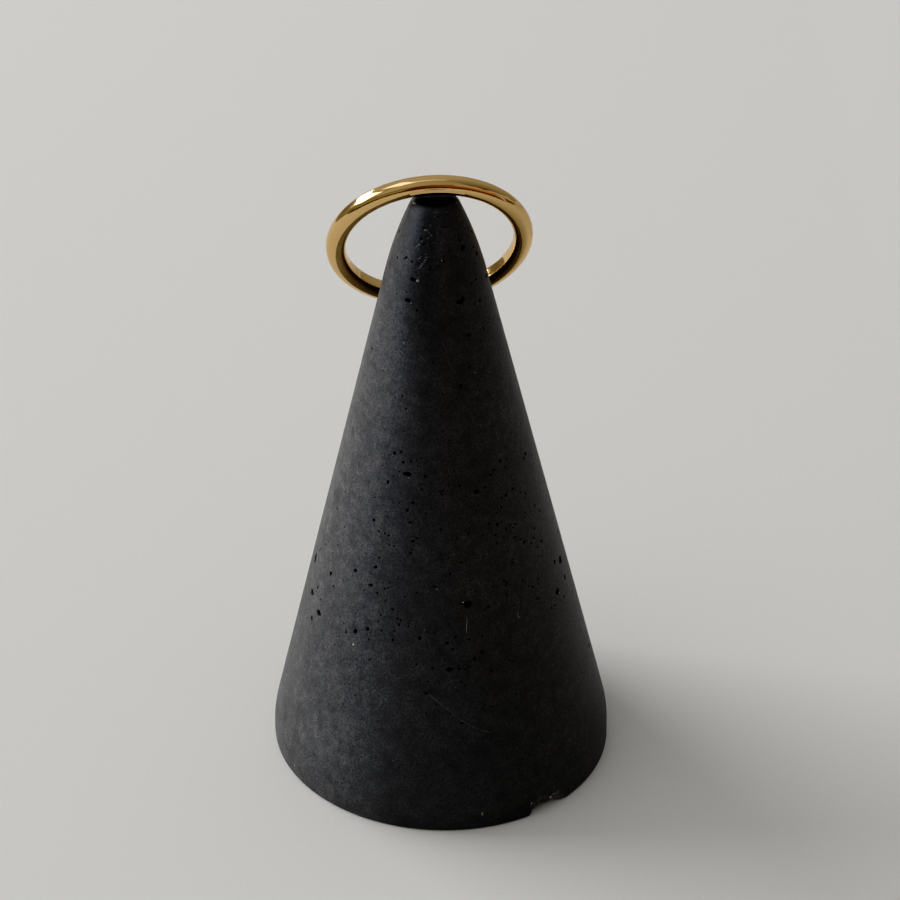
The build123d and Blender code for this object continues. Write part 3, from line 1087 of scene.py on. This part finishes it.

# %% Painted shade round the cone, up it, and across it: (distance behind the middle in mm, share)
SHADE_BEHIND = [(95, 0.0), (125, 0.6)]
LOW_FRONT_UP = [(8, 0.24), (33, 0.0)]
LOW_FRONT_ROUND = [(-29, 0.0), (-17, 1.0), (90, 1.0), (110, 0.0)]
MIDDLE_ROUND = [(-43, 0.0), (-25, 1.0), (-8, 1.0), (8, 0.0)]
MIDDLE_SHARE, MIDDLE_SHARE_AT_TIP = 0.12, 0.52
UNDER_RING_UP = [(65.5, 0.0), (66.2, 0.35), (66.42, 1.0)]
UNDER_RING_BACK = [(-0.6, 1.0), (0.6, 0.0)]
# Painted shade behind the cone, low in front, down the front middle, and for the ring's shadow under it.
behind = read_off(SHADE_BEHIND, np.abs(round_degrees))
low_front = read_off(LOW_FRONT_UP, height_mm) * read_off(LOW_FRONT_ROUND, round_degrees)
middle_share = MIDDLE_SHARE + (MIDDLE_SHARE_AT_TIP - MIDDLE_SHARE) * towards_tip
middle = read_off(MIDDLE_ROUND, round_degrees) * middle_share
under_ring = read_off(UNDER_RING_UP, height_mm) * read_off(UNDER_RING_BACK, corners @ cone_back / MM)
deep = np.max([behind, low_front, middle, under_ring], axis=0)
print(f"deep tone on {(deep > 0).mean():.0%} of the corners")

# %% Make the cone
WELD = 1e-7
SHARP = math.radians(24)
cone = new_piece("cone", corners, triangles)
builder = bmesh.new()
builder.from_mesh(cone.data)
builder.verts.ensure_lookup_table()
traits = {
    "hollow": np.concatenate([hollow, np.zeros(len(corners) - len(hollow))]),
    "broken": np.concatenate([broken, np.zeros(len(corners) - len(broken))]),
    "pale": pale,
    "dusty": dusty,
    "film_and_light": film_and_light,
    "deep": deep,
}
for trait, values in traits.items():
    layer = builder.verts.layers.float.new(trait)
    for corner in builder.verts:
        corner[layer] = values[corner.index]
bmesh.ops.remove_doubles(builder, verts=builder.verts, dist=WELD)
bmesh.ops.recalc_face_normals(builder, faces=builder.faces)
builder.to_mesh(cone.data)
builder.free()
cone.data.set_sharp_from_angle(angle=SHARP)
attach(cone, "root")
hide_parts("display_cone")
print("cone:", len(cone.data.vertices), "corners,", len(cone.data.polygons), "faces")

# %% [markdown]
# ## Black concrete
#
# Dyed concrete is nearly black but never even. Clouds of paler cement lie under the skin, fine sand gives
# it a grain, and a few pale specks show. It is matt, yet at a glancing angle its smooth cast skin
# shines. A picture of concrete could be wrapped round the cone, but it would meet itself in a seam. Noise
# has no seam, and it fills space at its true size. The finish starts from noise of three sizes, lays the
# film with its painted light over it, darkens it with painted shade, and sets in sand and pinholes darkened
# by painted shade. Then it reads the numbers on the corners: the inside of a pore gets painted shade,
# darker and without shine, and a fresh break is paler and uneven.

# %% Concrete: clouds, blotches and grain, each about so many millimetres across
concrete = Finish("black_concrete")
concrete_place = concrete.add("TexCoord").outputs["Object"]


def speckle(size_mm, detail, rough=0.6):
    """Noise whose blotches are about this many millimetres across."""
    return concrete.noise(concrete_place, 1000 / size_mm, detail, rough)


def trait_share(name):
    """The number that the mesh carries under this name."""
    return concrete.add("Attribute", attribute_name=name).outputs["Fac"]


clouds = speckle(9.0, detail=3.0)
blotches = speckle(1.4, detail=5.0)
grain = speckle(0.20, detail=2.0, rough=0.7)
base = concrete.ramp(clouds, [(0.3, (0.0154, 0.0158, 0.0165)), (0.7, (0.0237, 0.0242, 0.0252))])
base = concrete.mix("MULTIPLY", 1.0, base, concrete.ramp(blotches, [(0.25, 0.28), (0.75, 1.72)]))
base = concrete.mix("MULTIPLY", 1.0, base, concrete.ramp(grain, [(0.28, 0.12), (0.72, 1.88)]))
print("clouds, blotches and grain mixed")

# %% The film of pale cement, patchy and flecked, with its painted light, and the painted shade
PALER_FILM_AND_LIGHT = (3.05, 2.92, 2.74, 1)
PAINTED_SHADE_BLACK = (0.003, 0.003, 0.0032, 1)
film = concrete.ramp(speckle(3.2, detail=4.0, rough=0.65), [(0.35, 0.6), (0.65, 1.0)])
flecks = concrete.ramp(speckle(0.7, detail=3.0, rough=0.7), [(0.35, 0.62), (0.65, 1.38)])
patchy = concrete.mix("MULTIPLY", 1.0, film, flecks)
# Painted light: where the corners' share is high, the film makes the concrete paler.
film_and_light_share = concrete.number("MULTIPLY", trait_share("film_and_light"), patchy)
base = concrete.mix("MIX", film_and_light_share, base, concrete.mix("MULTIPLY", 1.0, base, PALER_FILM_AND_LIGHT))
# Painted shade: where the corners say so, the concrete is darkened towards black.
painted_shade_share = trait_share("deep")
base = concrete.mix("MIX", painted_shade_share, base, PAINTED_SHADE_BLACK)
print("film and deep tone laid on")


# %% Pinholes and sand: one small round dot in some of the cells of a honeycomb
def dots(cell_mm, share, radius):
    """1 in round dots, 0 between: share is how many cells have one, radius their size in cells."""
    cell = concrete.add("TexVoronoi", Scale=1000 / cell_mm)
    concrete.join(concrete_place, cell.inputs["Vector"])
    chance = concrete.add("SeparateColor")
    concrete.join(cell.outputs["Color"], chance.inputs[0])
    has_dot = concrete.number("LESS_THAN", chance.outputs[0], share)
    shape = concrete.ramp(cell.outputs["Distance"], [(radius * 0.7, 1.0), (radius * 1.2, 0.0)])
    return concrete.number("MULTIPLY", shape, has_dot)


SAND = (0.10, 0.098, 0.094, 1)
PINHOLE_SHADE = (0.008, 0.008, 0.008, 1)
pinholes = dots(0.62, 0.22, 0.13)
base = concrete.mix("MIX", dots(1.1, 0.25, 0.06), base, SAND)
# Painted shade: each pinhole is darker than the concrete round it.
base = concrete.mix("MIX", pinholes, base, PINHOLE_SHADE)
print("pinholes and sand set in")

# %% Dust, painted shade in pores, breaks, and pale marks with two painted lit lips, where the mesh has them
DUST_GREY = (0.11, 0.11, 0.11, 1)
PORE_SHADE_BLACK = (0.002, 0.002, 0.002, 1)
PALE_MARK_GREY = (0.62, 0.615, 0.60, 1)
powder = concrete.ramp(speckle(0.35, detail=4.0, rough=0.75), [(0.5, 0.0), (0.68, 0.5)])
dust_share = concrete.number("MULTIPLY", trait_share("dusty"), powder)
pore_shade_share = trait_share("hollow")
break_colour = concrete.ramp(blotches, [(0.45, 0.022), (0.62, 0.10)])
base = concrete.mix("MIX", dust_share, base, DUST_GREY)
# Painted shade: the inside of each pore is darkened nearly to black.
base = concrete.mix("MIX", pore_shade_share, base, PORE_SHADE_BLACK)
base = concrete.mix("MIX", trait_share("broken"), base, break_colour)
# Pale marks: crumbs, fibres and the scratch, and painted light on two pore lips.
base = concrete.mix("MIX", trait_share("pale"), base, PALE_MARK_GREY)
concrete.set("Base Color", base)
# Painted shade takes the shine off too: inside pores, in pinholes and where the deep tone lies.
matt_in_shade_share = concrete.number("MAXIMUM", concrete.number("MAXIMUM", pore_shade_share, pinholes), painted_shade_share)
concrete.set("Specular IOR Level", concrete.ramp(matt_in_shade_share, [(0.0, 0.42), (0.95, 0.0)]))
concrete.set("Roughness", concrete.ramp(blotches, [(0.2, 0.50), (0.8, 0.66)]))
print(len(concrete.tree.nodes), "nodes in the concrete so far")

# %% Relief: grain on top of slow waves, with the pinholes pushed in
waves = concrete.relief(blotches, strength=0.5, depth=0.08 * MM)
grainy = concrete.relief(grain, strength=0.8, depth=0.05 * MM, over=waves)
pitted = concrete.relief(pinholes, strength=0.8, depth=0.06 * MM, over=grainy, pushed_in=True)
concrete.set("Normal", pitted)
cone.data.materials.append(concrete.material)
print("concrete on the cone")

# %% [markdown]
# ## The ring
#
# The band is one section carried round the finger's axis: flat towards the finger with small eased edges,
# straight for a little way up each side, and crowned outside. A Screw modifier could carry it round. A loop
# is as short, and it can give each corner a place for the scratches to follow. A mirror finish shows every
# facet, so the band gets 360 steps round and a finely divided crown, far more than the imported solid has.

# %% The band's section: (distance along the finger, distance from the axis)
SIDE_LAND = 0.68 * MM
INNER_EASE = 0.57 * MM
CROWN_FULLNESS = 2.25
CROWN_STEPS = 64
EASE_STEPS = 8
half_width = BAND_WIDTH / 2
crown_start = FINGER_RADIUS + SIDE_LAND
crown_height = CROWN_RADIUS - crown_start


def crown_corner(turn):
    """A corner of the crown: an oval, a little fuller at the shoulders than a true ellipse."""
    across = math.copysign(abs(math.sin(turn)) ** (2 / CROWN_FULLNESS), turn)
    rise = abs(math.cos(turn)) ** (2 / CROWN_FULLNESS)
    return half_width * across, crown_start + crown_height * rise


def ease_corner(turn):
    """A corner of the rounding between the band's right side and its inside."""
    along_axis = half_width - INNER_EASE * (1 - math.cos(turn))
    return along_axis, FINGER_RADIUS + INNER_EASE * (1 - math.sin(turn))


crown = [crown_corner(turn) for turn in np.radians(np.linspace(-90, 90, CROWN_STEPS + 1))]
ease_right = [ease_corner(turn) for turn in np.radians(np.linspace(0, 90, EASE_STEPS + 1))]
ease_left = [(-along_axis, from_middle) for along_axis, from_middle in reversed(ease_right)]
section = crown + ease_right + ease_left
print(len(section), "corners in the band's section")

# %% Carry the section round; "buffed" gives each corner a place on a small ring, for the scratches to follow
RING_STEPS = 360
count = len(section)
ring_corners = []
buffed_places = []
ring_quads = []
for k in range(RING_STEPS):
    turn = 2 * math.pi * k / RING_STEPS
    cosine, sine = math.cos(turn), math.sin(turn)
    out = cosine * ring_side + sine * ring_up
    for along_axis, from_middle in section:
        ring_corners.append(ring_centre + along_axis * ring_axis + from_middle * out)
        buffed_places.append((along_axis / MM + cosine, from_middle / MM + sine, cosine - sine))
    here, there = k * count, (k + 1) % RING_STEPS * count
    for j in range(count):
        following = (j + 1) % count
        ring_quads.append((here + j, there + j, there + following, here + following))
ring = new_piece("ring", ring_corners, ring_quads)
buffed_layer = ring.data.attributes.new("buffed", "FLOAT_VECTOR", "POINT")
buffed_layer.data.foreach_set("vector", np.array(buffed_places).ravel())
builder = bmesh.new()
builder.from_mesh(ring.data)
bmesh.ops.recalc_face_normals(builder, faces=builder.faces)
builder.to_mesh(ring.data)
builder.free()
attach(ring, "root")
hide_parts("ring_band")
print("ring:", len(ring.data.vertices), "corners,", len(ring.data.polygons), "faces")

# %% [markdown]
# ## Polished gold
#
# Gold is a coloured mirror. A metallic shader with one low roughness would pass from afar. Close to, what
# tells real gold from that is the buffing: hair-fine scratches that blur a reflection slightly, and a
# surface that waves by less than a hundredth of a millimetre, so that straight edges in the room wobble in
# it. Both are too fine to be corners on the mesh, so they are relief in the finish.

# %% Gold finish: fine scratches that run round the band, and a slow sway
GOLD = (0.77, 0.50, 0.20, 1)
gold = Finish("polished_gold")
gold.set("Metallic", 1.0)
gold.set("Base Color", GOLD)
gold_place = gold.add("TexCoord").outputs["Object"]
buffed = gold.add("Attribute", attribute_name="buffed").outputs["Vector"]
scratches = gold.noise(buffed, 5.0, detail=4.0, rough=0.65)
handled = gold.noise(gold_place, 500.0, detail=3.0, rough=0.6)
wear = gold.number("MULTIPLY", scratches, handled)
shine = gold.add("MapRange")
shine.inputs["From Max"].default_value = 0.5
shine.inputs["To Min"].default_value = 0.03
shine.inputs["To Max"].default_value = 0.13
gold.join(wear, shine.inputs["Value"])
gold.set("Roughness", shine.outputs["Result"])
sway = gold.noise(gold_place, 420.0, detail=2.0, rough=0.5)
swaying = gold.relief(sway, strength=0.38, depth=0.02 * MM)
scratched = gold.relief(scratches, strength=0.10, depth=0.004 * MM, over=swaying)
gold.set("Normal", scratched)
ring.data.materials.append(gold.material)
print(len(gold.tree.nodes), "nodes in the gold")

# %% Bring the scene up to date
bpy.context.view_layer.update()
